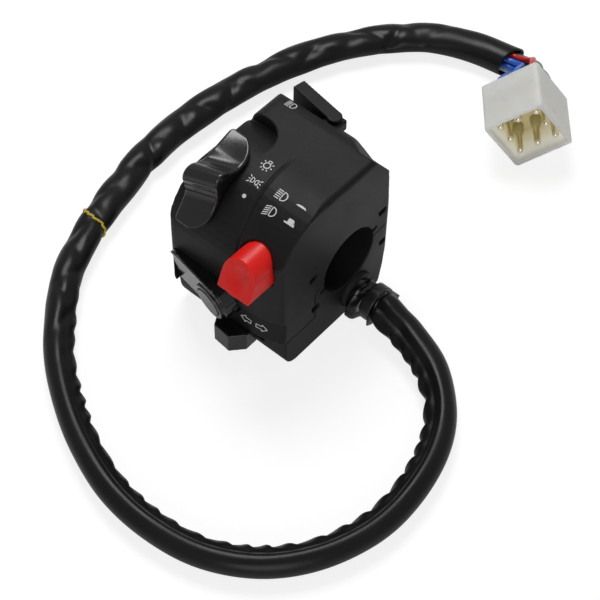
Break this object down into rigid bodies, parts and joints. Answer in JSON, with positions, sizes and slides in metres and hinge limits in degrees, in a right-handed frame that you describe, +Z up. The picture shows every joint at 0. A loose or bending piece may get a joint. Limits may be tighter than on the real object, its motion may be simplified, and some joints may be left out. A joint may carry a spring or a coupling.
{
  "type": "handlebar switch cluster",
  "caption": "Left-hand motorcycle handlebar switch cluster: two-part clamp casing, light slider, dimmer, turn, horn and pass controls, sleeved harness and plug.",
  "frame": {"origin": "centre of the handlebar bore, halfway along the casing", "axes": "+X along the handlebar towards the inboard end where the harness leaves, -Y towards the rider, +Z up"},
  "size_m": [0.153, 0.2199, 0.0639],
  "materials": {
    "casing": "black moulded plastic, fine satin grain",
    "control": "black moulded plastic, smooth",
    "red_button": "bright red moulded plastic",
    "nylon": "natural nylon",
    "switch_body": "black moulded plastic",
    "board": "brown phenolic board",
    "contact": "tinned brass",
    "steel": "zinc-plated steel",
    "rubber": "soft black rubber",
    "tape": "black vinyl tape, crumpled",
    "tie": "black nylon cable tie",
    "sleeve": "soft black vinyl sleeve, slightly glossy",
    "wire": "coloured vinyl insulation",
    "connector": "milky translucent nylon"
  },
  "bodies": {
    "casing": {"upper_case": "casing", "lower_case": "casing", "clamp_screws": "steel", "light_pin": "steel", "light_board": "board", "light_contacts": "contact", "dimmer_spring": "steel", "dimmer_body": "switch_body", "dimmer_terminals": "contact", "module_screws": "steel", "turn_board": "board", "turn_terminals": "contact", "horn_bezel": "control", "horn_spring": "steel", "horn_plate": "board", "horn_contact": "contact", "pass_pin": "steel", "pass_spring": "steel", "pass_switch": "switch_body", "pass_terminals": "contact", "cable_grommet": "rubber", "loom_tape": "tape", "cable_tie": "tie", "harness_sleeve": "sleeve", "lead_wires": "wire", "connector_housing": "connector", "connector_pins": "contact", "inner_leads": "wire"},
    "light_switch": {"light_slider": "control", "light_rotor": "nylon", "light_ball": "steel", "light_ball_spring": "steel", "light_wiper": "contact"},
    "dimmer_switch": {"dimmer_button": "red_button", "dimmer_plunger": "nylon"},
    "turn_switch": {"turn_knob": "control", "turn_carriage": "nylon", "turn_ball": "steel", "turn_bridge": "contact"},
    "horn_switch": {"horn_button": "control"},
    "pass_trigger": {"pass_lever": "control"}
  },
  "joints": [
    {"name": "light_slide", "type": "hinge", "parent": "casing", "child": "light_switch", "pos_m": [0, -0.011, 0.0135], "axis": [-1, 0, 0], "range_deg": [0, 22]},
    {"name": "dimmer_push", "type": "slide", "parent": "casing", "child": "dimmer_switch", "axis": [0, 1, 0], "range_m": [0, 0.004], "deforming": ["dimmer_spring"]},
    {"name": "turn_slide", "type": "slide", "parent": "casing", "child": "turn_switch", "axis": [1, 0, 0], "range_m": [-0.005, 0.005]},
    {"name": "horn_push", "type": "slide", "parent": "casing", "child": "horn_switch", "axis": [0.18, 0.9712, 0.1564], "range_m": [0, 0.0025], "stiffness_N_per_m": 600, "springref_m": -0.001, "deforming": ["horn_spring"]},
    {"name": "pass_pull", "type": "hinge", "parent": "casing", "child": "pass_trigger", "pos_m": [0.0004, 0.0169, 0.025], "axis": [0, 0, 1], "range_deg": [0, 10], "stiffness_Nm_per_rad": 0.3, "springref_deg": -5.73, "deforming": ["pass_spring"]}
  ]
}
